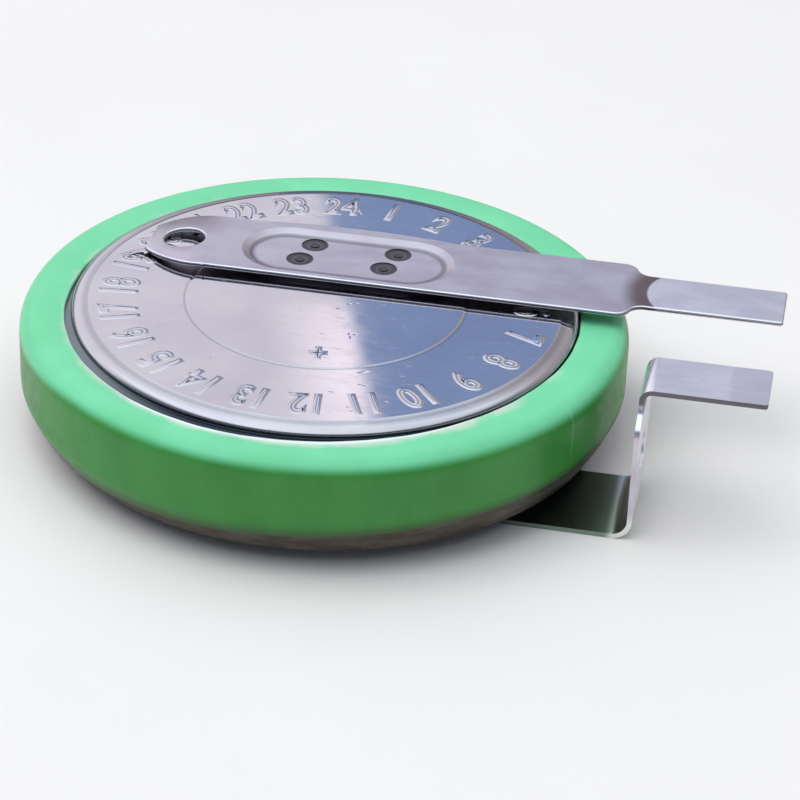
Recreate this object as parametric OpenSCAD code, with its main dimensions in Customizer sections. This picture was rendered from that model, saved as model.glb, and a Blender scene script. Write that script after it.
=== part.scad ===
// Lithium coin cell, 24.5 mm across and 5 mm thick, with two welded solder tabs.
// Origin: on the cell's axis, in the plane of the negative face. +Z points out of the
// positive face and +X along the solder leads. All sizes are in millimetres.

/* [Cell] */
// Outside diameter of the can, without its sleeve
cell_d = 24.5; // [23.5:0.1:26]
// Height over the two terminal faces
cell_h = 5; // [4.6:0.1:5.6]
// Thickness of the can's steel
can_t = 0.25; // [0.2:0.01:0.3]
// Outside radius where the can's ledge turns down into its wall
can_corner_r = 0.7; // [0.5:0.05:0.9]

/* [Positive face] */
// Distance of the raised round panel's edge in from the can's wall
panel_inset = 1.95; // [1.8:0.05:2.2]
// Height of the panel above the ledge round it
step_h = 0.45; // [0.35:0.05:0.5]
// Outside radius of the panel's shoulder
shoulder_r = 0.34; // [0.27:0.01:0.34]
// Radius in the corner between the panel and its ledge
ledge_fillet_r = 0.1; // [0.08:0.01:0.1]
// Distance of the outer pressed line from the panel's edge
outer_line_inset = 0.53; // [0.45:0.01:0.7]
// Diameter of the inner pressed line
inner_line_d = 11.35; // [10:0.05:12]
// Width of a pressed line
line_w = 0.12; // [0.08:0.01:0.16]
// Depth of a pressed line
line_depth = 0.03; // [0.02:0.01:0.05]

/* [Crimp] */
// Outside radius of the can's rolled edge
crimp_r = 1.2; // [1.1:0.05:1.3]
// Height at which the wall starts to roll in
crimp_z = 1.4; // [1.3:0.05:1.5]
// Angle through which the edge is rolled
crimp_angle = 80; // [65:1:80]

/* [Cap] */
// Distance of the cap's side in from the can's wall
cap_inset = 1.65; // [1.6:0.01:1.8]
// Thickness of the cap's steel
cap_t = 0.25; // [0.2:0.01:0.3]
// Outside radius round the negative face
cap_corner_r = 0.4; // [0.35:0.01:0.5]
// Radius in the corner between the cap and its shoulder
cap_fillet_r = 0.12; // [0.08:0.01:0.14]

/* [Gasket] */
// Thickness of the gasket between can and cap
gasket_t = 0.45; // [0.4:0.01:0.5]
// Thickness of the foot that the cap's skirt stands on
gasket_foot_t = 0.4; // [0.3:0.05:0.5]
// How far the foot reaches in past the skirt
gasket_foot_reach = 0.3; // [0.1:0.05:0.4]
// Gap between the can's cut edge and the lip that shows beside the cap
gasket_lip_gap = 0.08; // [0.05:0.01:0.12]
// How far the lip stands out of the crimp
gasket_lip_h = 0.12; // [0.05:0.01:0.2]

/* [Inside] */
// Gap between the lithium disc and the cap's side
lithium_gap = 0.85; // [0.4:0.05:1.3]
// Thickness of the lithium disc
lithium_t = 1; // [0.8:0.05:1.2]
// Thickness of the separator
separator_t = 0.15; // [0.1:0.01:0.2]
// Height of the separator's turned-up rim
separator_rim_h = 1.2; // [0.8:0.1:1.6]
// Gap between the manganese dioxide pellet and the side of the can's raised panel
pellet_gap = 0.25; // [0.2:0.01:0.5]
// Thickness of the collector ring's steel
collector_t = 0.12; // [0.1:0.01:0.15]
// Height of the collector ring
collector_h = 1.2; // [0.8:0.1:1.6]
// Width of the collector's flange under the pellet's edge
collector_flange_w = 1.5; // [1:0.1:2]

/* [Sleeve] */
// Thickness of the shrunk film
film_t = 0.15; // [0.1:0.01:0.2]
// How far the film's lip reaches in from the can's wall over the ledge
film_lip_w = 1.75; // [1.5:0.05:1.8]
// Height of the film's other edge on the can's wall
film_edge_z = 1.7; // [1.5:0.05:2.2]

/* [Tabs] */
// Thickness of the tab strip
tab_t = 0.2; // [0.15:0.01:0.25]
// Width of a tab's body
tab_w = 4.4; // [4.2:0.1:4.8]
// Width of a solder lead
lead_w = 2.7; // [2.4:0.1:3]
// Length over which the body narrows to the lead
neck_l = 1.2; // [1:0.1:1.4]
// Radius of the corners at a lead's cut end
lead_corner_r = 0.15; // [0.1:0.01:0.25]
// Offset of the positive tab's centreline behind the axis
positive_tab_y = 3.2; // [2.8:0.05:3.6]
// Distance between the two tabs' centrelines
tab_pitch = 7.62; // [7:0.01:8.2]
// Diameter of the pilot hole in each tab
pilot_d = 1.7; // [1.5:0.1:1.9]

/* [Weld dish] */
// Length of the pressed dish
dish_l = 8.9; // [8.4:0.1:9.4]
// Width of the pressed dish
dish_w = 3.8; // [3.5:0.1:4]
// Depth of the dish, which holds the strip off the cell
dish_depth = 0.2; // [0.15:0.01:0.25]
// Width of the dish's sloping wall
dish_slope_w = 0.4; // [0.3:0.05:0.5]
// Diameter of a weld spot
weld_d = 1.1; // [0.9:0.1:1.2]
// Depth of the ring pressed in by the welding tip
weld_depth = 0.03; // [0.02:0.01:0.05]
// Diameter of the button left in the middle of a weld spot
weld_button_d = 0.4; // [0.3:0.05:0.6]
// Distance between the two pairs of welds
weld_pair_gap = 3.54; // [3:0.02:4]
// Distance between the two welds of a pair
weld_gap = 1.35; // [1.25:0.05:1.5]
// How far the second weld of a pair stands ahead of the first
weld_lead = 0.36; // [0:0.02:0.5]
// Offset of the welds from the strip's centreline
weld_offset = 0.25; // [0:0.05:0.25]

/* [Positive tab] */
// Distance of the dish's middle from the axis
positive_dish_x = 0.25; // [0:0.05:0.5]
// How far the pressing has pushed out the strip's edge beside the dish
edge_bulge_w = 0.3; // [0.2:0.02:0.4]
// Length of the pushed-out edge
edge_bulge_l = 8.4; // [7:0.1:9]
// Distance in from the can's wall to where the body starts to narrow
positive_neck_inset = 0.65; // [0.3:0.05:1.3]
// Length of the lead past its neck
positive_lead_l = 5.6; // [4.5:0.05:7.5]
// Distance from the dish's middle to where the tail starts
tail_x = 5.6; // [5.4:0.1:6]
// Length of the tail
tail_l = 2.75; // [2.6:0.05:2.9]
// Distance from the tail's start to where its sides curve in
tail_straight_l = 0.25; // [0.2:0.05:0.4]
// Radius of the tail's two curved sides
tail_side_r = 3.2; // [3:0.1:3.6]
// Distance from the tail's start to its pilot hole
tail_pilot_l = 1.3; // [1.1:0.05:1.4]
// How far the tail's tip is bent down towards the can
tail_drop = 0.18; // [0.1:0.01:0.18]
// Inside radius of the bend at the tail
tail_bend_r = 1; // [0.5:0.1:2]

/* [Negative tab] */
// Distance from the axis to the foot's cut end
foot_x = 6.4; // [5.5:0.1:8]
// Radius of the corners at the foot's cut end
foot_corner_r = 0.5; // [0.2:0.05:0.8]
// Gap between the sleeve and the riser
riser_gap = 1.05; // [0.8:0.05:2.4]
// Inside radius of the bend under the riser
lower_bend_r = 0.6; // [0.4:0.05:0.8]
// Inside radius of the bend over the riser
upper_bend_r = 0.3; // [0.2:0.05:0.5]
// Height of the lead's top above the positive face
lead_rise = 0.9; // [0.5:0.05:1.4]
// Length of the lead, measured from the riser's inner side
negative_lead_l = 4.9; // [3.5:0.05:6.5]
// Distance from the riser's neck down to its pilot hole
riser_pilot_drop = 1.7; // [1:0.05:1.8]
// Straight stretch between the riser's neck and the bend over it
neck_to_bend_l = 0.1; // [0.05:0.01:0.2]

/* [Hidden] */
$fn = 96;

// A cut runs past the face it opens by this much
past = 1;
// Share of its radius by which an arc laps the edge it meets, so that they cross cleanly
arc_lap = 0.003;

can_r = cell_d / 2;
panel_r = can_r - panel_inset;
cap_r = can_r - cap_inset;
ledge_z = cell_h - step_h;
can_floor_z = cell_h - can_t;
ledge_floor_z = ledge_z - can_t;

// The rolled edge, the gasket and the cap's shoulder are arcs about one centre
roll_x = can_r - crimp_r;
roll_in_r = crimp_r - can_t;
shoulder_arc_r = roll_in_r - gasket_t;
skirt_r = roll_x + shoulder_arc_r;
cap_shoulder_z = crimp_z - shoulder_arc_r;
skirt_top_z = ledge_floor_z - gasket_foot_t;
gasket_foot_r = skirt_r - cap_t - gasket_foot_reach;
gasket_end_z = crimp_z - roll_in_r;
gasket_lip_r = roll_x + roll_in_r * cos(crimp_angle) - gasket_lip_gap;

lithium_top_z = cap_t + lithium_t;
separator_top_z = lithium_top_z + separator_t;
lithium_r = cap_r - cap_t - lithium_gap;
pellet_r = panel_r - can_t - pellet_gap;
separator_rim_in_r = pellet_r + separator_t;
collector_flange_z = can_floor_z - collector_t;

dish_top_r = dish_w / 2;
dish_floor_r = dish_top_r - dish_slope_w;
dish_half_span = dish_l / 2 - dish_top_r;
// The underside's outline is wider, so that the sloping wall keeps the strip's thickness
dish_wall_angle = atan(dish_depth / dish_slope_w);
dish_flare = tab_t * tan(dish_wall_angle / 2);
tail_angle = asin(tail_drop / tail_l);
positive_neck_x = can_r - positive_neck_inset - positive_dish_x;
edge_bulge_r = (edge_bulge_l * edge_bulge_l / 4 + edge_bulge_w * edge_bulge_w) / (2 * edge_bulge_w);
negative_tab_y = positive_tab_y - tab_pitch;
foot_z = -dish_depth - tab_t;
lower_bend_out_r = lower_bend_r + tab_t;
upper_bend_out_r = upper_bend_r + tab_t;
// A bent piece of strip runs this far on into the flats that it joins
bend_lap = neck_to_bend_l / 2;
riser_in_x = can_r + film_t + riser_gap;
negative_lead_z = cell_h + lead_rise;
riser_bottom_z = foot_z + lower_bend_out_r;
riser_top_z = negative_lead_z - upper_bend_out_r;
riser_neck_z = riser_top_z - neck_to_bend_l - neck_l;

// Profiles that are turned about the axis: x is the radius and y the height

// Rectangle from the axis out to r, with its outer top corner rounded
module disc_section(r, z0, z1, corner_r) {
    translate([0, z0]) square([r, z1 - corner_r - z0]);
    translate([0, z0]) square([r - corner_r, z1 - z0]);
    translate([r - corner_r, z1 - corner_r]) circle(corner_r);
}

// Fillet in the corner at [x, y]; sx and sy point into the open quarter
module corner_fillet(x, y, sx, sy, r) {
    translate([x, y]) difference() {
        translate([sx > 0 ? 0 : -r, sy > 0 ? 0 : -r]) square(r);
        translate([sx * r, sy * r]) circle(r);
    }
}

// Quarter of the plane outside and below the roll's centre
module roll_quarter() {
    translate([roll_x, crimp_z - 2 * crimp_r]) square([2 * crimp_r, 2 * crimp_r]);
}

module can_outline() {
    disc_section(panel_r, crimp_z, cell_h, shoulder_r);
    disc_section(can_r, crimp_z, ledge_z, can_corner_r);
    corner_fillet(panel_r, ledge_z, 1, 1, ledge_fillet_r);
    intersection() {
        translate([roll_x, crimp_z]) circle(crimp_r);
        roll_quarter();
    }
}

module can_hollow() {
    disc_section(panel_r - can_t, crimp_z, can_floor_z, shoulder_r - can_t);
    disc_section(can_r - can_t, crimp_z, ledge_floor_z, can_corner_r - can_t);
    corner_fillet(panel_r - can_t, ledge_floor_z, 1, 1, ledge_fillet_r);
    intersection() {
        translate([roll_x, crimp_z]) circle(roll_in_r);
        roll_quarter();
    }
}

// Everything on the inner side of a line from the roll's centre at this angle below level
module inside_roll_angle(angle) {
    reach = 4 * crimp_r;
    translate([roll_x, crimp_z])
        polygon([[0, 0], [reach * cos(angle), -reach * sin(angle)], [-reach, -reach], [-reach, 0]]);
}

module pressed_line(r) {
    translate([r - line_w / 2, cell_h - line_depth]) square([line_w, line_depth + past]);
}

module positive_can() {
    color("#b9b4c2") rotate_extrude() difference() {
        can_outline();
        can_hollow();
        inside_roll_angle(crimp_angle);
        pressed_line(inner_line_d / 2);
        pressed_line(panel_r - outer_line_inset);
    }
}

module cap_outline() {
    mirror([0, 1]) disc_section(cap_r, -cap_shoulder_z - cap_t, 0, cap_corner_r);
    translate([0, cap_shoulder_z]) square([roll_x, skirt_top_z - cap_shoulder_z]);
    corner_fillet(cap_r, cap_shoulder_z, 1, -1, cap_fillet_r);
    intersection() {
        translate([roll_x, crimp_z]) circle(shoulder_arc_r);
        roll_quarter();
    }
    translate([0, crimp_z]) square([skirt_r, skirt_top_z - crimp_z]);
}

module cap_hollow() {
    mirror([0, 1])
        disc_section(cap_r - cap_t, -cap_shoulder_z - 2 * cap_t, -cap_t, cap_corner_r - cap_t);
    translate([0, cap_shoulder_z + cap_t]) square([roll_x, skirt_top_z + past - cap_shoulder_z]);
    intersection() {
        translate([roll_x, crimp_z]) circle(shoulder_arc_r - cap_t);
        roll_quarter();
    }
    translate([0, crimp_z]) square([skirt_r - cap_t, skirt_top_z + past - crimp_z]);
}

module negative_cap() {
    color("#a8a49c") rotate_extrude() difference() {
        cap_outline();
        cap_hollow();
    }
}

module sealing_gasket() {
    color("#3a3a3e") rotate_extrude() {
        difference() {
            intersection() {
                can_hollow();
                union() {
                    translate([gasket_foot_r, skirt_top_z]) square([can_r, cell_h]);
                    translate([cap_r, 0]) square([can_r, skirt_top_z]);
                }
            }
            cap_outline();
            translate([0, ledge_floor_z]) square([gasket_foot_r, cell_h]);
        }
        difference() {
            translate([cap_r, gasket_end_z - gasket_lip_h])
                square([gasket_lip_r - cap_r, cap_shoulder_z - gasket_end_z + gasket_lip_h]);
            cap_outline();
        }
    }
}

module lithium_anode() {
    color("#c8c8cc") translate([0, 0, cap_t]) cylinder(r = lithium_r, h = lithium_t);
}

module separator() {
    rim_out_r = separator_rim_in_r + separator_t;
    color("#f2f1ec") translate([0, 0, lithium_top_z]) difference() {
        cylinder(r = rim_out_r, h = separator_t + separator_rim_h);
        translate([0, 0, separator_t]) cylinder(r = separator_rim_in_r, h = separator_rim_h + past);
    }
}

module cathode_pellet() {
    color("#2b2b2d") {
        translate([0, 0, separator_top_z])
            cylinder(r = pellet_r, h = collector_flange_z - separator_top_z);
        translate([0, 0, separator_top_z])
            cylinder(r = pellet_r - collector_flange_w, h = can_floor_z - separator_top_z);
    }
}

module cathode_collector() {
    color("#8f9094") rotate_extrude() {
        translate([pellet_r, can_floor_z - collector_h]) square([collector_t, collector_h]);
        translate([pellet_r - collector_flange_w, collector_flange_z])
            square([collector_flange_w + collector_t, collector_t]);
    }
}

module insulating_sleeve() {
    color("#4fbf62") rotate_extrude() difference() {
        disc_section(can_r + film_t, film_edge_z, ledge_z + film_t, can_corner_r + film_t);
        disc_section(can_r, film_edge_z - past, ledge_z, can_corner_r);
        square([can_r - film_lip_w, 2 * cell_h]);
    }
}

// Tab strip: flat outlines are drawn along x about the strip's centreline

// Body of length body_l that ends at x = 0, then the neck and a lead of length lead_l.
// The neck's sides are S-curves of two equal arcs.
module necked_outline(body_l, lead_l, end_r) {
    drop = (tab_w - lead_w) / 2;
    r = (neck_l * neck_l + drop * drop) / (4 * drop);
    lapped_r = r * (1 - arc_lap);
    start_y = tab_w / 2 - r;
    middle_y = (tab_w + lead_w) / 4;
    end_y = lead_w / 2;
    difference() {
        union() {
            translate([-body_l, -tab_w / 2]) square([body_l, tab_w]);
            polygon([
                [0, start_y], [neck_l / 2, middle_y], [neck_l, end_y],
                [neck_l, -end_y], [neck_l / 2, -middle_y], [0, -start_y]
            ]);
            for (side = [-1, 1]) translate([0, side * (tab_w / 2 - lapped_r)]) circle(r);
            translate([neck_l, 0]) strip_end(lead_l, lead_w, end_r);
        }
        for (side = [-1, 1]) translate([neck_l, side * (lead_w / 2 + lapped_r)]) circle(r);
    }
}

// Strip of width w from x = 0 to x = l, with the corners at its far end rounded where r is over 0
module strip_end(l, w, r) {
    translate([0, -w / 2]) square([l - r, w]);
    translate([0, r - w / 2]) square([l, w - 2 * r]);
    if (r > 0) for (side = [-1, 1]) translate([l - r, side * (w / 2 - r)]) circle(r);
}

// The tail's two sides are arcs that leave the body's edges almost without a kink
module tail_outline() {
    side_y = tail_side_r * (1 - arc_lap) - tab_w / 2;
    intersection() {
        translate([0, -tab_w / 2]) square([tail_l, tab_w]);
        translate([tail_straight_l, -side_y]) circle(tail_side_r);
        translate([tail_straight_l, side_y]) circle(tail_side_r);
    }
}

// Long round-ended plug whose radius changes from r0 to r1 over its height
module racetrack_plug(r0, r1, h) {
    for (side = [-1, 1]) translate([side * dish_half_span, 0, 0]) cylinder(r1 = r0, r2 = r1, h = h);
    translate([-dish_half_span, 0, 0]) rotate([90, 0, 90])
        linear_extrude(2 * dish_half_span) polygon([[-r0, 0], [r0, 0], [r1, h], [-r1, h]]);
}

module weld_spots() {
    for (pair = [-1, 1], row = [-1, 1])
        translate([(pair * weld_pair_gap + row * weld_lead) / 2, row * weld_gap / 2 + weld_offset, 0])
            difference() {
                cylinder(d = weld_d, h = weld_depth + past);
                translate([0, 0, -past]) cylinder(d = weld_button_d, h = weld_depth + past);
            }
}

// Presses the weld dish into a flat strip whose underside is at z = 0
module dished() {
    difference() {
        union() {
            children();
            translate([0, 0, -dish_depth])
                racetrack_plug(dish_floor_r + dish_flare, dish_top_r + dish_flare, dish_depth);
        }
        translate([0, 0, tab_t - dish_depth]) racetrack_plug(dish_floor_r, dish_top_r, dish_depth);
        translate([0, 0, tab_t - dish_depth - weld_depth]) weld_spots();
    }
}

// Quarter or part bend about a line along y, starting at this angle from +x
module strip_bend(in_r, width, start, angle) {
    rotate([90, 0, 0]) rotate([0, 0, start]) rotate_extrude(angle = angle)
        translate([in_r, -width / 2]) square([tab_t, width]);
}

// Piece of strip that runs for l along x and turns down at its far end, to h below its top
module bent_strip(l, h, in_r, width) {
    rotate([90, 0, 0]) translate([0, 0, -width / 2]) linear_extrude(width) difference() {
        disc_section(l, -h, 0, in_r + tab_t);
        translate([-past, 0]) disc_section(l + past - tab_t, -h - past, -tab_t, in_r);
    }
}

module positive_tab() {
    color("#b3aab8") translate([positive_dish_x, positive_tab_y, cell_h + dish_depth]) {
        dished() linear_extrude(tab_t) {
            translate([positive_neck_x, 0])
                necked_outline(tail_x + positive_neck_x, positive_lead_l, lead_corner_r);
            intersection() {
                translate([0, tab_w / 2 + edge_bulge_w - edge_bulge_r]) circle(edge_bulge_r, $fn = 720);
                translate([-edge_bulge_l / 2, 0]) square([edge_bulge_l, tab_w]);
            }
        }
        translate([-tail_x, 0, -tail_bend_r]) {
            strip_bend(tail_bend_r, tab_w, 90, tail_angle);
            rotate([0, -tail_angle, 0]) translate([0, 0, tail_bend_r]) linear_extrude(tab_t)
                mirror([1, 0]) difference() {
                    tail_outline();
                    translate([tail_pilot_l, 0]) circle(d = pilot_d);
                }
        }
    }
}

// Drawn with x as the height
module riser_outline() {
    translate([riser_neck_z, 0]) difference() {
        necked_outline(riser_neck_z - riser_bottom_z, neck_to_bend_l, 0);
        translate([-riser_pilot_drop, 0]) circle(d = pilot_d);
    }
}

module negative_tab() {
    lower_l = lower_bend_out_r + bend_lap;
    upper_h = upper_bend_out_r + bend_lap;
    color("#a49db0") translate([0, negative_tab_y, 0]) {
        translate([0, 0, -dish_depth]) mirror([0, 0, 1]) dished() linear_extrude(tab_t) {
            translate([0, -tab_w / 2]) square([riser_in_x - lower_bend_r, tab_w]);
            mirror([1, 0]) strip_end(foot_x, tab_w, foot_corner_r);
        }
        translate([riser_in_x, 0, 0]) {
            translate([tab_t - lower_l, 0, foot_z]) rotate([180, 0, 0])
                bent_strip(lower_l, lower_l, lower_bend_r, tab_w);
            translate([tab_t, 0, 0]) rotate([0, -90, 0]) linear_extrude(tab_t) riser_outline();
            intersection() {
                translate([negative_lead_l, 0, negative_lead_z]) rotate([0, 0, 180])
                    bent_strip(negative_lead_l, upper_h, upper_bend_r, lead_w + 2 * past);
                translate([-past, 0, 0]) linear_extrude(negative_lead_z + past)
                    strip_end(negative_lead_l + past, lead_w, lead_corner_r);
            }
        }
    }
}

positive_can();
negative_cap();
sealing_gasket();
lithium_anode();
separator();
cathode_pellet();
cathode_collector();
insulating_sleeve();
positive_tab();
negative_tab();
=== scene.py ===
import math

import bmesh
import bpy
from mathutils import Matrix, Vector


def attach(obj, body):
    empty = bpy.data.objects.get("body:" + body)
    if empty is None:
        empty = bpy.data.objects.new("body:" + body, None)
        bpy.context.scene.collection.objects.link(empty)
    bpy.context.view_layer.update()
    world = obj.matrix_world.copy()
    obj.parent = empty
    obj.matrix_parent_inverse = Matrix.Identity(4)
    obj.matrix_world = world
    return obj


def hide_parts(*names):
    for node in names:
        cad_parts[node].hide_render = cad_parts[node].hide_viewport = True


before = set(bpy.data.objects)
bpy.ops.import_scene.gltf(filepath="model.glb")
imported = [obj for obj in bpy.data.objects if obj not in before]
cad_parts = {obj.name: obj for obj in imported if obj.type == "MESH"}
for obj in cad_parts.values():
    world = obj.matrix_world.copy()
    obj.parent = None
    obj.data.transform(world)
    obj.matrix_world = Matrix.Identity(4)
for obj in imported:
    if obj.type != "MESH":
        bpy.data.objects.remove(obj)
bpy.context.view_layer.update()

MM = 0.001
TURNS = 288                 # steps of a full turn

# Sizes of the cell, as in the part's source
CELL_R, CELL_H, CAN_T = 12.25, 5.0, 0.25
PANEL_R, STEP_H = 10.3, 0.45
LEDGE_Z = CELL_H - STEP_H
ROLL_R, ROLL_Z, ROLL_ANGLE = 1.2, 1.4, 80
CAP_R, CAP_T, CAP_Z = 10.6, 0.25, 0.9
FILM_T, FILM_EDGE_Z = 0.15, 1.7
TAB_Y, NEGATIVE_Y = 3.2, -4.42
DISH_X = 0.25                               # middle of the positive tab's dish
DISH_REACH, DISH_FLOOR_R = 2.55, 1.5        # half its straight length, and radius of its floor's ends
WELD_R = 0.55
WELD_PAIR_GAP, WELD_GAP, WELD_LEAD, WELD_OFFSET = 3.54, 1.35, 0.36, 0.25
HOLE_X = DISH_X - 6.9                       # pilot hole in the positive tab's tail
FOOT_Z = -0.4                               # underside of the negative tab, where the part stands

# Sizes of what is drawn finer here than in the source
INNER_LINE_R, OUTER_LINE_R, LINE_W = 5.675, 9.64, 0.13  # two pressed lines, each a small step down
FACE_Z = CELL_H - 0.025                     # face outside the inner line
FACE_END_Z = FACE_Z - 0.035                 # face outside the outer line
TAPER_Z = 1.55                              # below it the wall tapers in, and the film with it
TAPER_END = (11.55, 0.30)                   # radius and height where the taper meets the roll
FILM_TAPER, FILM_TAPER_EASE = 0.56, 0.35    # slope of the film's taper, and the height it sets in over
LIP_R, LIP_W, HEM_H = 10.34, 0.6, 1.0       # film's lip, and the bands that are uneven at its edges
FIGURE_BASE_R, FIGURE_SIZE, FIGURE_SQUEEZE = 7.75, 2.0, 0.72
FIGURE_TUBE_R, FIGURE_DEPTH = 0.4, 0.37     # a figure is the top of a tube with its middle this deep
FIGURE_CUT = 0.02                           # what lies further under the face is cut off
TAIL_CURVE_X, TAIL_TIP_X = -4.9, -8.1       # the positive tab's tail curves down between these
TAIL_BEND_X, TAIL_BEND_SLOPE = -5.35, 0.07  # the source's straight bend, taken out first
SCRAP_TIP_X = -8.8
CREASE_AZIMUTH = -27.4                      # crease in the film
NOWHERE = 99                                # an x that no tab reaches

# Colours of the light tent, as light
LEFT_SKY, MIDDLE_SKY = (0.82, 0.80, 0.90), (1.27, 1.18, 1.28)
RIGHT_SKY, SIDE_SKY = (0.27, 0.37, 0.62), (0.50, 0.47, 0.50)
FRONT_SKY, HORIZON, TOP_SKY = (0.17, 0.21, 0.28), (0.08, 0.08, 0.09), (1.02, 1.12, 1.22)


# ---- Mesh tools ----

def turned(profile, rounds):
    """Closed profile of (radius, height) points turned about z.
    rounds: (point's index, length taken off each side, segments) of the corners that are rounded."""
    bm = bmesh.new()
    corners = [bm.verts.new((r, 0, z)) for r, z in profile]
    bm.faces.new(corners)
    for index, offset, segments in rounds:
        bmesh.ops.bevel(bm, geom=[corners[index]], offset=offset, offset_type="OFFSET",
                        segments=segments, profile=0.5, affect="VERTICES",
                        clamp_overlap=False, material=-1)
    bmesh.ops.delete(bm, geom=bm.faces[:], context="FACES_ONLY")
    bmesh.ops.spin(bm, geom=bm.verts[:] + bm.edges[:], cent=(0, 0, 0), axis=(0, 0, 1),
                   dvec=(0, 0, 0), angle=math.tau, steps=TURNS, use_merge=True,
                   use_duplicate=False)
    bmesh.ops.remove_doubles(bm, verts=bm.verts[:], dist=1e-5)
    bmesh.ops.recalc_face_normals(bm, faces=bm.faces[:])
    return bm


def piece(bm, name, material, slot, *nodes, crease=40):
    """Makes bm, drawn in millimetres, the piece that stands for these CAD nodes."""
    bm.transform(Matrix.Scale(MM, 4))
    mesh = bpy.data.meshes.new(name)
    bm.to_mesh(mesh)
    bm.free()
    mesh.materials.append(material)
    mesh.polygons.foreach_set("use_smooth", [True] * len(mesh.polygons))
    mesh.set_sharp_from_angle(angle=math.radians(crease))
    made = bpy.data.objects.new(name, mesh)
    bpy.context.scene.collection.objects.link(made)
    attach(made, "root")
    if nodes:
        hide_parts(*nodes)
    return made


def cad_copy(node):
    """A merged copy of a CAD node's mesh, in millimetres, with its flat faces joined up."""
    bm = bmesh.new()
    bm.from_mesh(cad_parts[node].data)
    bm.transform(Matrix.Scale(1 / MM, 4))
    bmesh.ops.remove_doubles(bm, verts=bm.verts[:], dist=1e-4)
    bmesh.ops.dissolve_limit(bm, angle_limit=math.radians(0.5), use_dissolve_boundaries=False,
                             verts=bm.verts[:], edges=bm.edges[:])
    return bm


def edges_between(bm, low, high, where):
    """Edges whose faces meet at low to high degrees, and whose middle passes the test."""
    found = []
    for edge in bm.edges:
        if len(edge.link_faces) != 2:
            continue
        angle = math.degrees(edge.calc_face_angle())
        if low <= angle <= high and where((edge.verts[0].co + edge.verts[1].co) / 2):
            found.append(edge)
    return found


def soften(bm, edges, width, segments, clamp=True):
    bmesh.ops.bevel(bm, geom=edges, offset=width, offset_type="OFFSET", segments=segments,
                    profile=0.5, affect="EDGES", clamp_overlap=clamp, material=-1)


# ---- Material tools ----

def add(tree, kind, inputs=None, **settings):
    made = tree.nodes.new(kind)
    for key, value in settings.items():
        setattr(made, key, value)
    for key, value in (inputs or {}).items():
        if isinstance(value, bpy.types.NodeSocket):
            tree.links.new(value, made.inputs[key])
        else:
            made.inputs[key].default_value = value
    return made


def new_material(name, **constants):
    """A material with its shader's fixed values set, its node tree and its place in millimetres."""
    material = bpy.data.materials.new(name)
    material.use_nodes = True
    tree = material.node_tree
    shader = tree.nodes["Principled BSDF"]
    for key, value in constants.items():
        shader.inputs[key.replace("_", " ")].default_value = value
    place = add(tree, "ShaderNodeTexCoord").outputs["Object"]
    place = add(tree, "ShaderNodeMapping", {"Vector": place, "Scale": (1 / MM,) * 3}).outputs[0]
    return material, tree, shader, place


def math_node(tree, operation, a, b=0.0):
    return add(tree, "ShaderNodeMath", {0: a, 1: b}, operation=operation).outputs[0]


def times(tree, a, b):
    return math_node(tree, "MULTIPLY", a, b)


def axes(tree, vector):
    """The X, Y and Z sockets of a vector."""
    return add(tree, "ShaderNodeSeparateXYZ", {0: vector}).outputs


def ramp(tree, value, low, high, to_low=0.0, to_high=1.0):
    """Smooth step from to_low, where value is low, to to_high, where it is high."""
    return add(tree, "ShaderNodeMapRange", {"Value": value, "From Min": low, "From Max": high,
               "To Min": to_low, "To Max": to_high}, interpolation_type="SMOOTHSTEP").outputs["Result"]


def noise(tree, place, scale, detail=3.0, stretch=(1, 1, 1), roughness=0.5, distortion=0.0):
    if stretch != (1, 1, 1):
        place = add(tree, "ShaderNodeMapping", {"Vector": place, "Scale": stretch}).outputs[0]
    return add(tree, "ShaderNodeTexNoise", {"Vector": place, "Scale": scale, "Detail": detail,
               "Roughness": roughness, "Distortion": distortion}).outputs["Fac"]


def blend_colours(tree, share, a, b):
    """Mix of two colours, each a tuple or a socket."""
    mix = add(tree, "ShaderNodeMix", data_type="RGBA")
    tree.links.new(share, mix.inputs[0])
    for socket, value in ((mix.inputs[6], a), (mix.inputs[7], b)):
        if isinstance(value, bpy.types.NodeSocket):
            tree.links.new(value, socket)
        else:
            socket.default_value = (*value, 1)
    return mix.outputs[2]


def distance_to(tree, place, x, y):
    """Distance in the xy plane from a point."""
    moved = add(tree, "ShaderNodeMapping", {"Vector": place, "Location": (-x, -y, 0),
                                            "Scale": (1, 1, 0)}).outputs[0]
    return add(tree, "ShaderNodeVectorMath", {0: moved}, operation="LENGTH").outputs["Value"]


def bump(tree, shader, height, distance, below=None):
    made = add(tree, "ShaderNodeBump", {"Height": height, "Strength": 1.0, "Distance": distance * MM})
    if below is not None:
        tree.links.new(below, made.inputs["Normal"])
    tree.links.new(made.outputs[0], shader.inputs["Normal"])
    return made.outputs[0]


# ---- Materials ----

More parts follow.
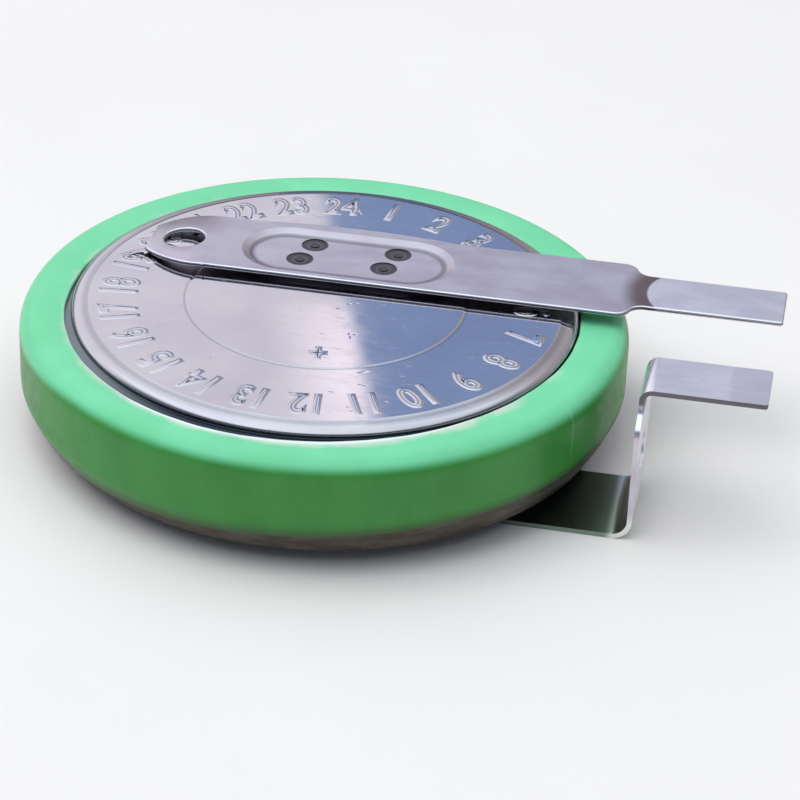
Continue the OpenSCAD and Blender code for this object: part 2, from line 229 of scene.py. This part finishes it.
def can_steel():
    material, tree, shader, place = new_material("can_steel", Metallic=1.0)
    across, _, height = axes(tree, place)
    radius = distance_to(tree, place, 0, 0)
    cloud = noise(tree, place, 0.22, 4)
    smear = noise(tree, place, 1.3, 5, (1, 2.6, 1), 0.6)
    colour = blend_colours(tree, ramp(tree, cloud, 0.3, 0.7), (0.61, 0.59, 0.63), (0.69, 0.67, 0.69))
    colour = blend_colours(tree, ramp(tree, smear, 0.5, 0.8, 0, 0.3), colour, (0.50, 0.48, 0.52))
    # Painted shade in a band just outside each of the two pressed lines, at the foot of its step
    for inner, outer, share in ((INNER_LINE_R + 0.02, INNER_LINE_R + 0.16, 0.5),
                                (OUTER_LINE_R - 0.02, OUTER_LINE_R + 0.34, 0.45)):
        line = times(tree, ramp(tree, radius, inner - 0.04, inner + 0.04),
                     ramp(tree, radius, outer, outer * 0.4 + inner * 0.6))
        colour = blend_colours(tree, times(tree, line, share), colour, (0.30, 0.30, 0.33))
    # Painted shade in the groove beside the film's lip, lighter at the left, where more light falls
    groove = times(tree, ramp(tree, radius, 10.22, 10.32), ramp(tree, height, 4.78, 4.66))
    shade = blend_colours(tree, ramp(tree, across, -8.5, -3), (0.22, 0.25, 0.26), (0.045, 0.060, 0.080))
    colour = blend_colours(tree, groove, colour, shade)
    # The wall below the film and the rolled edge are painted dark brown: painted shade and the brownish
    # reflection under the cell
    lower = ramp(tree, height, 2.2, 1.6)
    brown_mottle = noise(tree, place, 0.6, 4, (1, 1, 2.5), 0.6)
    brown = blend_colours(tree, ramp(tree, brown_mottle, 0.35, 0.7), (0.115, 0.095, 0.075), (0.20, 0.18, 0.155))
    colour = blend_colours(tree, lower, colour, brown)
    tree.links.new(colour, shader.inputs["Base Color"])
    scratches = ramp(tree, noise(tree, place, 1.6, 2, (0.7, 6, 1), 0.6, 1.2), 0.70, 0.78)
    rough = ramp(tree, smear, 0.35, 0.75, 0.05, 0.09)
    rough = math_node(tree, "ADD", rough, times(tree, scratches, 0.10))
    rough = math_node(tree, "ADD", rough, times(tree, groove, 0.25))
    rough = math_node(tree, "ADD", rough, times(tree, lower, 0.25))
    tree.links.new(rough, shader.inputs["Roughness"])
    waves = bump(tree, shader, noise(tree, place, 0.16, 2), 0.004)
    dents = ramp(tree, noise(tree, place, 1.1, 2, (1, 1.5, 1), 0.5, 0.6), 0.66, 0.78)
    dented = bump(tree, shader, dents, -0.003, waves)
    bump(tree, shader, scratches, 0.0015, dented)
    return material


def cap_steel():
    material, tree, shader, place = new_material("cap_steel", Metallic=1.0)
    cloud = noise(tree, place, 0.3, 4)
    fine = noise(tree, place, 3.0, 5, (1, 6, 1), 0.65)
    # The cap's outer edge, from its rounding outwards, is painted dark brown: painted shade and the
    # brownish reflection under the cell
    side = ramp(tree, distance_to(tree, place, 0, 0), 10.1, 10.5)
    colour = blend_colours(tree, ramp(tree, cloud, 0.3, 0.7), (0.50, 0.47, 0.45), (0.60, 0.57, 0.54))
    colour = blend_colours(tree, side, colour, (0.19, 0.14, 0.11))
    tree.links.new(colour, shader.inputs["Base Color"])
    tree.links.new(ramp(tree, fine, 0.3, 0.8, 0.14, 0.34), shader.inputs["Roughness"])
    bump(tree, shader, fine, 0.003)
    return material


def tab_steel(name, tin_x, tin_y, tin_r, welds, dull_from, dish=None, hole=(0, 0), worn_from=NOWHERE):
    """Brushed strip with dark weld spots, tinned past tin_x and within tin_r of (tin_x, tin_y).
    Soldering has dulled it from dull_from on, and the tin is worn from worn_from on.
    dish: middle of the dish, half its straight length and the radius of its floor's ends."""
    material, tree, shader, place = new_material(name, Metallic=1.0)
    along, back, height = axes(tree, place)
    brushing = noise(tree, place, 6.0, 5, (0.12, 1.6, 1.6), 0.6)
    cloud = noise(tree, place, 0.45, 4, (1, 1.6, 1))
    speck = ramp(tree, noise(tree, place, 5.5, 4, (1, 1, 1), 0.7), 0.66, 0.74)
    colour = blend_colours(tree, ramp(tree, cloud, 0.3, 0.7), (0.56, 0.50, 0.56), (0.68, 0.63, 0.68))
    colour = blend_colours(tree, ramp(tree, brushing, 0.35, 0.75, 0, 0.4), colour, (0.74, 0.70, 0.75))
    colour = blend_colours(tree, times(tree, speck, 0.5), colour, (0.20, 0.17, 0.19))
    reach = distance_to(tree, place, tin_x, tin_y)
    tinned = math_node(tree, "MAXIMUM", ramp(tree, reach, tin_r + 0.05, tin_r - 0.05),
                       ramp(tree, along, tin_x - 0.05, tin_x + 0.05))
    heated = times(tree, ramp(tree, reach, tin_r + 1.3, tin_r + 0.35),
                   ramp(tree, along, dull_from, dull_from + 0.5))
    colour = blend_colours(tree, times(tree, heated, 0.9), colour, (0.19, 0.125, 0.125))
    tin = blend_colours(tree, ramp(tree, cloud, 0.35, 0.65), (0.76, 0.74, 0.80), (0.86, 0.83, 0.88))
    uneven = math_node(tree, "ADD", along, ramp(tree, cloud, 0.3, 0.7, -0.15, 0.15))
    worn = ramp(tree, uneven, worn_from, worn_from + 0.25)
    tin = blend_colours(tree, times(tree, worn, 0.6), tin, (0.70, 0.66, 0.72))
    colour = blend_colours(tree, tinned, colour, tin)
    # The foot under the cell is painted dark green, as painted shade and the green film's reflection,
    # with a painted bright reflection of the riser at its far end
    foot = ramp(tree, height, 0.9, 0.2)
    painted_foot_reflection = blend_colours(tree, ramp(tree, along, 12.55, 12.95),
                           (0.24, 0.31, 0.26), (0.80, 0.84, 0.78))
    colour = blend_colours(tree, foot, colour, painted_foot_reflection)
    # The tail is painted darker above its hole, as painted shade where it curves down, and a darker ring
    # is painted as shade round the bottom of the weld dish
    if dish:
        tail = times(tree, ramp(tree, along, -4.6, -6.6), ramp(tree, back, 3.3, 4.6))
        colour = blend_colours(tree, times(tree, tail, 0.62), colour, (0.20, 0.18, 0.20))
        dish_x, dish_y, floor_reach, floor_r = dish
        from_middle = math_node(tree, "ABSOLUTE", math_node(tree, "ADD", along, -dish_x))
        past_x = math_node(tree, "MAXIMUM", math_node(tree, "ADD", from_middle, -floor_reach), 0.0)
        past_y = math_node(tree, "ADD", back, -dish_y)
        squares = math_node(tree, "ADD", times(tree, past_x, past_x),
                            times(tree, past_y, past_y))
        reach_out = math_node(tree, "SQRT", squares)
        # Painted shade: a darker ring round the edge of the dish's floor
        painted_dish_shade = times(tree, ramp(tree, reach_out, floor_r - 0.22, floor_r - 0.02),
                       ramp(tree, reach_out, floor_r + 0.16, floor_r + 0.04))
        colour = blend_colours(tree, times(tree, painted_dish_shade, 0.6), colour, (0.13, 0.12, 0.14))
    # The upright sheared sides, except the hole's wall, are painted near black: painted shade
    facing = axes(tree, add(tree, "ShaderNodeNewGeometry").outputs["True Normal"])
    upright = math_node(tree, "ABSOLUTE", facing["Z"])
    sheared = times(tree, ramp(tree, upright, 0.3, 0.05), ramp(tree, height, 4.6, 4.9))
    sheared = times(tree, sheared, ramp(tree, distance_to(tree, place, *hole), 0.95, 1.05))
    colour = blend_colours(tree, times(tree, sheared, 0.9), colour, (0.09, 0.085, 0.095))
    # Where the shears rounded the upper edge it is burnished and smoother, and painted near white as a
    # painted highlight
    rounded = times(tree, ramp(tree, upright, 0.40, 0.50), ramp(tree, upright, 0.985, 0.96))
    rounded = times(tree, rounded, ramp(tree, height, 1.0, 2.0))
    if dish:
        beyond_dish = ramp(tree, reach_out, floor_r + 0.50, floor_r + 0.58)
        rounded = times(tree, rounded, beyond_dish)
    colour = blend_colours(tree, rounded, colour, (0.93, 0.91, 0.96))
    rough = ramp(tree, brushing, 0.3, 0.8, 0.36, 0.50)
    rough = add(tree, "ShaderNodeMix", {0: rounded, 2: rough, 3: 0.2}).outputs[0]
    rough = add(tree, "ShaderNodeMix", {0: foot, 2: rough, 3: 0.28}).outputs[0]
    for x, y in welds:
        off = distance_to(tree, place, x, y)
        spot = ramp(tree, off, WELD_R + 0.05, WELD_R - 0.03)
        ring = times(tree, ramp(tree, off, 0.20, 0.26), ramp(tree, off, 0.36, 0.30))
        colour = blend_colours(tree, times(tree, spot, 0.92), colour, (0.075, 0.066, 0.075))
        colour = blend_colours(tree, times(tree, ring, 0.45), colour, (0.24, 0.22, 0.24))
        rough = math_node(tree, "ADD", rough, times(tree, spot, 0.08))
    tree.links.new(colour, shader.inputs["Base Color"])
    tree.links.new(rough, shader.inputs["Roughness"])
    bump(tree, shader, times(tree, brushing, ramp(tree, foot, 0, 1, 1, 0)), 0.002)
    return material


def green_film():
    material, tree, shader, place = new_material("green_film", IOR=1.42, Coat_Weight=0.08,
                                                 Coat_Roughness=0.2)
    across, back, height = axes(tree, place)
    cloud = noise(tree, place, 0.35, 4)
    blotch = noise(tree, place, 0.5, 3, (1, 1, 0.6), 0.5)
    # The film is painted paler over the rim, partly for its thinner stretch there and partly as painted
    # light from above, and further down at the left as painted light from that side
    raised = math_node(tree, "ADD", height, ramp(tree, across, -7.5, -12.4, 0, 0.4))
    rim = ramp(tree, raised, 4.12, 4.52)
    deep = blend_colours(tree, ramp(tree, blotch, 0.3, 0.7), (0.038, 0.255, 0.036), (0.050, 0.30, 0.048))
    pale = blend_colours(tree, ramp(tree, cloud, 0.3, 0.7), (0.185, 0.72, 0.36), (0.21, 0.78, 0.41))
    colour = blend_colours(tree, rim, deep, pale)
    # It is darker towards its lower edge, and its lip is painted pale and a little ragged: partly the
    # film's own pale edge, partly a painted highlight
    hem = add(tree, "ShaderNodeAttribute", attribute_name="hem").outputs["Fac"]
    colour = blend_colours(tree, ramp(tree, hem, 0.45, 1.0, 0, 0.85), colour, (0.035, 0.075, 0.018))
    lip = add(tree, "ShaderNodeAttribute", attribute_name="lip").outputs["Fac"]
    ragged = math_node(tree, "ADD", lip, ramp(tree, noise(tree, place, 0.9, 3), 0.3, 0.7, -0.10, 0.10))
    lip_pale_and_highlight = blend_colours(tree, ramp(tree, lip, 0.6, 0.75), (0.66, 0.78, 0.62), (0.92, 1.0, 0.95))
    colour = blend_colours(tree, ramp(tree, ragged, 0.34, 0.74, 0, 0.92), colour, lip_pale_and_highlight)
    # A faint crease runs down the film at the front right, from a nick in its rim
    turn = math_node(tree, "ARCTAN2", back, across)
    off = math_node(tree, "ABSOLUTE", math_node(tree, "ADD", turn, -math.radians(CREASE_AZIMUTH)))
    from_nick = math_node(tree, "ABSOLUTE", math_node(tree, "ADD", height, -4.42))
    nick = ramp(tree, from_nick, 0.22, 0.05, 0.0, 0.010)
    crease = ramp(tree, off, math_node(tree, "ADD", nick, 0.006), 0.0)
    crease = times(tree, crease, ramp(tree, height, 2.0, 3.0))
    colour = blend_colours(tree, times(tree, crease, 0.25), colour, (0.30, 0.78, 0.40))
    tree.links.new(colour, shader.inputs["Base Color"])
    orange_peel = noise(tree, place, 2.4, 3)
    tree.links.new(ramp(tree, orange_peel, 0.3, 0.7, 0.36, 0.46), shader.inputs["Roughness"])
    bump(tree, shader, orange_peel, 0.004)
    return material


def plain_finish(name, dark, light, scale, low_rough, high_rough, metallic=0.0, depth=0.003):
    """Mottled finish for the pieces that show little or not at all."""
    material, tree, shader, place = new_material(name, Metallic=metallic)
    cloud = noise(tree, place, scale, 5, (1, 1, 1), 0.6)
    colour = blend_colours(tree, ramp(tree, cloud, 0.3, 0.7), dark, light)
    tree.links.new(colour, shader.inputs["Base Color"])
    tree.links.new(ramp(tree, cloud, 0.3, 0.7, low_rough, high_rough), shader.inputs["Roughness"])
    bump(tree, shader, cloud, depth)
    return material


# ---- Can, cap, gasket and sleeve ----

def roll_corner(r):
    """Corner, cut end and rounding of the rolled edge at this radius from the roll's centre."""
    reach = r * math.tan(math.radians(ROLL_ANGLE / 2))
    centre_x = CELL_R - ROLL_R
    end = (centre_x + r * math.cos(math.radians(ROLL_ANGLE)),
           ROLL_Z - r * math.sin(math.radians(ROLL_ANGLE)))
    return (centre_x + r, ROLL_Z - reach), end, reach


def stamped_can(material):
    _, outer_end, _ = roll_corner(ROLL_R)
    inner_corner, inner_end, inner_reach = roll_corner(ROLL_R - CAN_T)
    top, floor = CELL_H, CELL_H - CAN_T
    profile = [(0, top), (INNER_LINE_R - LINE_W / 2, top), (INNER_LINE_R + LINE_W / 2, FACE_Z),
               (OUTER_LINE_R - LINE_W / 2, FACE_Z), (OUTER_LINE_R + LINE_W / 2, FACE_END_Z)]
    rounds = [(1, 0.03, 2), (2, 0.03, 2), (3, 0.03, 2), (4, 0.05, 3)]
    first = len(profile)
    profile += [(PANEL_R - 0.12, FACE_Z - 0.10), (PANEL_R, FACE_Z - 0.26),
                (PANEL_R, LEDGE_Z), (CELL_R, LEDGE_Z), (CELL_R, TAPER_Z), TAPER_END, outer_end,
                inner_end, inner_corner, (CELL_R - CAN_T, LEDGE_Z - CAN_T),
                (PANEL_R - CAN_T, LEDGE_Z - CAN_T), (PANEL_R - CAN_T, floor), (0, floor)]
    rounds += [(first, 0.15, 6), (first + 1, 0.08, 4), (first + 2, 0.04, 3), (first + 3, 0.7, 8),
               (first + 4, 0.45, 8), (first + 5, 0.25, 6), (first + 6, 0.04, 2), (first + 7, 0.05, 2),
               (first + 8, inner_reach, 10), (first + 9, 0.45, 6)]
    return piece(turned(profile, rounds), "can", material, "can_steel", "positive_can")


def cap(material):
    centre_x = CELL_R - ROLL_R
    skirt = centre_x + 0.5
    profile = [(0, 0), (CAP_R, 0), (CAP_R, CAP_Z), (skirt, CAP_Z), (skirt, 3.9),
               (skirt - CAP_T, 3.9), (skirt - CAP_T, CAP_Z + CAP_T), (CAP_R - CAP_T, CAP_Z + CAP_T),
               (CAP_R - CAP_T, CAP_T), (0, CAP_T)]
    rounds = [(1, 0.4, 8), (2, 0.12, 4), (3, 0.5, 8), (4, 0.05, 2), (5, 0.05, 2), (6, 0.25, 5),
              (8, 0.15, 4)]
    return piece(turned(profile, rounds), "cap", material, "cap_steel", "negative_cap")


def raised_figures(material):
    """Numbers round the face as on a dial, pressed out as low outlined figures, and a plus inside."""
    figures = [(str(count), FIGURE_BASE_R, FIGURE_SIZE, 97 - count * 15, FACE_Z)
               for count in range(1, 25)]
    figures.append(("+", 3.9, 1.7, -82, CELL_H))
    bm = bmesh.new()
    for words, base_r, size, azimuth, face_z in figures:
        drawn = bpy.data.curves.new("figure", "FONT")
        drawn.body, drawn.size, drawn.align_x = words, size, "CENTER"
        drawn.fill_mode, drawn.bevel_depth, drawn.bevel_resolution = "NONE", FIGURE_TUBE_R, 5
        drawn.resolution_u, drawn.space_character = 6, 1.05
        holder = bpy.data.objects.new("figure", drawn)
        bpy.context.scene.collection.objects.link(holder)
        depsgraph = bpy.context.evaluated_depsgraph_get()
        outline = bpy.data.meshes.new_from_object(holder.evaluated_get(depsgraph))
        outline.transform(Matrix.Rotation(math.radians(azimuth - 90), 4, "Z")
                          @ Matrix.Translation((0, base_r, face_z - FIGURE_DEPTH))
                          @ Matrix.Scale(FIGURE_SQUEEZE, 4, (1, 0, 0)))
        bm.from_mesh(outline)
        bpy.data.meshes.remove(outline)
        bpy.data.objects.remove(holder)
        bpy.data.curves.remove(drawn)
    bmesh.ops.remove_doubles(bm, verts=bm.verts[:], dist=1e-4)
    bmesh.ops.bisect_plane(bm, geom=bm.verts[:] + bm.edges[:] + bm.faces[:], dist=1e-5,
                           plane_co=(0, 0, FACE_Z - FIGURE_CUT), plane_no=(0, 0, 1), clear_inner=True)
    return piece(bm, "raised_figures", material, "can_steel")


def sleeve(material):
    """Shrunk film. Its lip lies against the panel, but stands off at the front left and wanders.
    Its hem, the lower edge, runs unevenly and follows the wall's taper."""
    rows = [FILM_EDGE_Z + 0.1 * step for step in range(1, 11)]
    profile = [(LIP_R, LEDGE_Z), (LIP_R, LEDGE_Z + FILM_T), (CELL_R + FILM_T, LEDGE_Z + FILM_T)]
    profile += [(CELL_R + FILM_T, z) for z in reversed(rows)]
    edge = len(profile)
    profile += [(CELL_R + FILM_T, FILM_EDGE_Z), (CELL_R, FILM_EDGE_Z)]
    profile += [(CELL_R, z) for z in rows] + [(CELL_R, LEDGE_Z)]
    rounds = [(0, 0.02, 2), (1, 0.09, 5), (2, 0.85, 12), (edge, 0.08, 4), (edge + 1, 0.02, 2),
              (len(profile) - 1, 0.7, 10)]
    bm = turned(profile, rounds)
    lip = bm.verts.layers.float.new("lip")
    hem = bm.verts.layers.float.new("hem")
    for vert in bm.verts:
        x, y, z = vert.co
        r, turn = math.hypot(x, y), math.atan2(y, x)
        if r < LIP_R + LIP_W and z > LEDGE_Z - 0.01:
            share = 1 - (r - LIP_R) / LIP_W
            stand_off = 0.47 * max(0, math.cos(turn - math.radians(246))) ** 1.8
            wander = (0.018 * math.sin(3 * turn + 0.6) + 0.012 * math.sin(7 * turn + 2)
                      + 0.008 * math.sin(17 * turn) + 0.006 * math.sin(41 * turn + 1))
            out = (stand_off + wander + 0.01) * share
            vert.co.x += x / r * out
            vert.co.y += y / r * out
            # How pale the lip is painted: the film's own pale edge, more of it at the left (200°), and a
            # painted highlight at the front (278°)
            vert[lip] = share * (0.40 + 0.16 * max(0, math.cos(turn - math.radians(200)))
                                 + 0.6 * max(0, math.cos(turn - math.radians(278))) ** 2)
        if z < FILM_EDGE_Z + HEM_H:
            share = 1 - (z - FILM_EDGE_Z) / HEM_H
            vert.co.z += share * (-0.2 - 0.75 * max(0, math.cos(turn - math.radians(225))) ** 3
                                  + 0.5 * max(0, math.cos(turn - math.radians(5))) ** 3
                                  + 0.02 * math.sin(5 * turn) + 0.01 * math.sin(13 * turn + 2))
            vert[hem] = share
            under = max(0, TAPER_Z + FILM_TAPER_EASE - vert.co.z)
            scale = 1 - FILM_TAPER * under ** 2 / (under + FILM_TAPER_EASE) / r
            vert.co.x *= scale
            vert.co.y *= scale
    return piece(bm, "sleeve", material, "green_film", "insulating_sleeve")


# ---- Tabs ----

def in_dish(middle, x, y):
    """Distance from the middle line of the dish at x, y. Its rim lies at 1.9 mm."""
    reach = abs(middle.x - x) - DISH_REACH
    return math.hypot(max(reach, 0), middle.y - y)


def strip(node, name, material, dish_x, dish_y, rim_low, rim_high, tail=False):
    """The CAD tab with its sheared edges broken and the dish's pressed edges rounded.
    rim_low and rim_high: heights that the strip and its dish lie between. tail: its end curves down."""
    bm = cad_copy(node)
    dish = lambda m: rim_low - 0.01 <= m.z <= rim_high + 0.01 and in_dish(m, dish_x, dish_y) < 2.1
    flat_rims = edges_between(bm, 12, 40, lambda m: dish(m) and in_dish(m, dish_x, dish_y) > 1.3)
    soften(bm, flat_rims, 0.16, 4)
    sheared = edges_between(bm, 50, 130, lambda m: in_dish(m, dish_x, dish_y) > 1.75 or not dish(m))
    soften(bm, sheared, 0.08, 4, clamp=not tail)
    if tail:
        length, steps = TAIL_TIP_X - TAIL_CURVE_X, 12
        for vert in bm.verts:
            vert.co.z += max(0, TAIL_BEND_X - vert.co.x) * TAIL_BEND_SLOPE
        joint = [edge for edge in bm.edges
                 if all(abs(vert.co.x - TAIL_BEND_X) < 0.3 for vert in edge.verts)]
        bmesh.ops.dissolve_limit(bm, angle_limit=math.radians(6), use_dissolve_boundaries=False,
                                 verts=list({vert for edge in joint for vert in edge.verts}),
                                 edges=joint)
        for step in range(steps):
            bmesh.ops.bisect_plane(bm, geom=bm.verts[:] + bm.edges[:] + bm.faces[:], dist=1e-5,
                                   plane_co=(TAIL_CURVE_X + length * step / steps, 0, 0),
                                   plane_no=(1, 0, 0))
        drop = (TAIL_BEND_X - TAIL_TIP_X) * TAIL_BEND_SLOPE
        for vert in bm.verts:
            if vert.co.x < TAIL_CURVE_X:
                share = (TAIL_CURVE_X - vert.co.x) / (TAIL_CURVE_X - TAIL_TIP_X)
                vert.co.z -= drop * share ** 2
    made = piece(bm, name, material, "tab_steel", node, crease=32)
    for face in made.data.polygons:
        if abs(face.normal.z) > 0.99999 and face.area > 0.3 * MM * MM:
            face.use_smooth = False
    made.modifiers.new("even_shading", "WEIGHTED_NORMAL").keep_sharp = True
    return made


def torn_tip(material):
    """Frayed scrap at the tip of the positive tab's tail, where the strip was broken off its carrier."""
    outline = ((-7.72, 2.10), (-7.92, 2.02), (-8.06, 1.80), (-8.18, 1.98), (-8.42, 1.90), (-8.70, 1.62),
               (-8.62, 1.86), (SCRAP_TIP_X, 2.02), (-8.48, 2.14), (-8.24, 2.32), (-8.10, 2.62),
               (-7.80, 2.70))
    bm = bmesh.new()
    base = bm.faces.new([bm.verts.new((x, y, CELL_H)) for x, y in outline])
    raised = bmesh.ops.extrude_face_region(bm, geom=[base])["geom"]
    for vert in raised:
        if isinstance(vert, bmesh.types.BMVert):
            vert.co.z += 0.035 + 0.07 * (vert.co.x - SCRAP_TIP_X)
    bmesh.ops.recalc_face_normals(bm, faces=bm.faces[:])
    soften(bm, bm.edges[:], 0.015, 2)
    return piece(bm, "torn_tip", material, "tab_steel")


# ---- Build ----

can_finish = can_steel()
stamped_can(can_finish)
raised_figures(can_finish)
cap(cap_steel())
sleeve(green_film())

welds = [(DISH_X + (pair * WELD_PAIR_GAP + row * WELD_LEAD) / 2,
          TAB_Y + row * WELD_GAP / 2 + WELD_OFFSET) for pair in (-1, 1) for row in (-1, 1)]
plus_finish = tab_steel("tab_steel_plus", 14.95, TAB_Y, 2.2, welds, 10.8,
                        (DISH_X, TAB_Y, DISH_REACH, DISH_FLOOR_R), (HOLE_X, TAB_Y))
strip("positive_tab", "tab_plus", plus_finish, DISH_X, TAB_Y, CELL_H, CELL_H + 0.4, tail=True)
torn_tip(plus_finish)
minus_finish = tab_steel("tab_steel_minus", 14.5, NEGATIVE_Y, 2.3, [], NOWHERE, worn_from=16.8)
strip("negative_tab", "tab_minus", minus_finish, 0, NEGATIVE_Y, FOOT_Z, 0.0)

# The other pieces stay as the CAD has them: node, finish's name, darkest and lightest colour, scale of
# the mottling, lowest and highest roughness, metallic
for node, *finish in (
    ("sealing_gasket", "gasket_plastic", (0.02, 0.02, 0.024), (0.035, 0.035, 0.04), 1.5, 0.4, 0.55),
    ("lithium_anode", "lithium_metal", (0.42, 0.42, 0.45), (0.62, 0.62, 0.66), 0.8, 0.35, 0.6, 1.0),
    ("separator", "separator_felt", (0.72, 0.70, 0.66), (0.85, 0.84, 0.80), 4.0, 0.8, 0.95),
    ("cathode_pellet", "pellet_black", (0.012, 0.012, 0.013), (0.035, 0.034, 0.035), 3.0, 0.7, 0.9),
    ("cathode_collector", "collector_steel", (0.35, 0.35, 0.37), (0.5, 0.5, 0.52), 1.2, 0.25, 0.4, 1.0),
):
    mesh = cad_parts[node].data
    mesh.materials.clear()
    mesh.materials.append(plain_finish(*finish))

# ---- Floor, light and camera ----

def floor():
    bm = bmesh.new()
    bmesh.ops.create_grid(bm, x_segments=4, y_segments=4, size=600)
    bm.transform(Matrix.Translation((0, 0, FOOT_Z)))
    bm.transform(Matrix.Scale(MM, 4))
    mesh = bpy.data.meshes.new("floor")
    bm.to_mesh(mesh)
    bm.free()
    mesh.materials.append(plain_finish("floor_card", (0.95, 0.90, 0.85), (0.97, 0.92, 0.87), 0.05,
                                       0.7, 0.8, depth=0.0))
    made = bpy.data.objects.new("floor", mesh)
    bpy.context.scene.collection.objects.link(made)


def softbox(name, azimuth, elevation, distance, width, height, power):
    """Area light aimed at the cell from this direction, which the steel doesn't mirror.
    Azimuth 0 is the -y side, 90 the +x side."""
    light = bpy.data.lights.new(name, "AREA")
    light.shape = "RECTANGLE"
    light.size, light.size_y = width * MM, height * MM
    light.energy = power
    made = bpy.data.objects.new(name, light)
    turn = (Matrix.Rotation(math.radians(azimuth), 4, "Z")
            @ Matrix.Rotation(math.radians(90 - elevation), 4, "X"))
    made.matrix_world = turn @ Matrix.Translation((0, 0, distance * MM))
    made.visible_glossy = False
    bpy.context.scene.collection.objects.link(made)


def studio():
    """Sky of a light tent: bright overhead, lilac behind the cell to the left, slate blue to the
    right and grey beyond that."""
    world = bpy.data.worlds.new("studio")
    world.use_nodes = True
    bpy.context.scene.world = world
    tree = world.node_tree
    look = add(tree, "ShaderNodeTexCoord").outputs["Generated"]
    height = axes(tree, look)["Z"]

    def lean(*direction):
        return add(tree, "ShaderNodeVectorMath", {0: look, 1: direction},
                   operation="DOT_PRODUCT").outputs["Value"]

    behind = ramp(tree, lean(-0.165, 0.986, 0), -0.1, 0.5)
    seam = lean(0.9803, 0.1954, -0.14)
    right = ramp(tree, seam, -0.0585, -0.0505)
    glow = times(tree, ramp(tree, seam, -0.110, -0.061), ramp(tree, height, 0.475, 0.493))
    left = blend_colours(tree, glow, LEFT_SKY, MIDDLE_SKY)
    side = blend_colours(tree, ramp(tree, seam, 0.04, 0.11), RIGHT_SKY, SIDE_SKY)
    back = blend_colours(tree, right, left, side)
    low = blend_colours(tree, behind, FRONT_SKY, back)
    low = blend_colours(tree, ramp(tree, height, 0.0, 0.36), HORIZON, low)
    sky = blend_colours(tree, ramp(tree, height, 0.56, 0.85), low, TOP_SKY)
    background = tree.nodes["Background"]
    tree.links.new(sky, background.inputs["Color"])
    tree.links.new(ramp(tree, lean(1, 0, 0), -1, 1, 1.2, 0.8), background.inputs["Strength"])


def camera(azimuth, elevation, roll, distance, focal_px, aim_right, aim_up):
    """Camera at this distance from the middle of the face, for a picture 800 pixels wide."""
    turn = (Matrix.Rotation(math.radians(azimuth), 4, "Z")
            @ Matrix.Rotation(math.radians(90 - elevation), 4, "X") @ Matrix.Rotation(roll, 4, "Z"))
    data = bpy.data.cameras.new("camera")
    data.lens = focal_px * data.sensor_width / 800
    data.clip_start, data.clip_end = 0.005, 5
    made = bpy.data.objects.new("camera", data)
    face = Matrix.Translation((0, 0, CELL_H * MM))
    made.matrix_world = face @ turn @ Matrix.Translation((aim_right * MM, aim_up * MM, distance * MM))
    bpy.context.scene.collection.objects.link(made)
    bpy.context.scene.camera = made


floor()
studio()
softbox("key_top", 300, 70, 450, 400, 400, 0.75)
camera(9.4953, 30.3823, 0.0411, 120, 2953.24, 3.0102, -4.1173)

bpy.context.scene.view_settings.view_transform = "Standard"
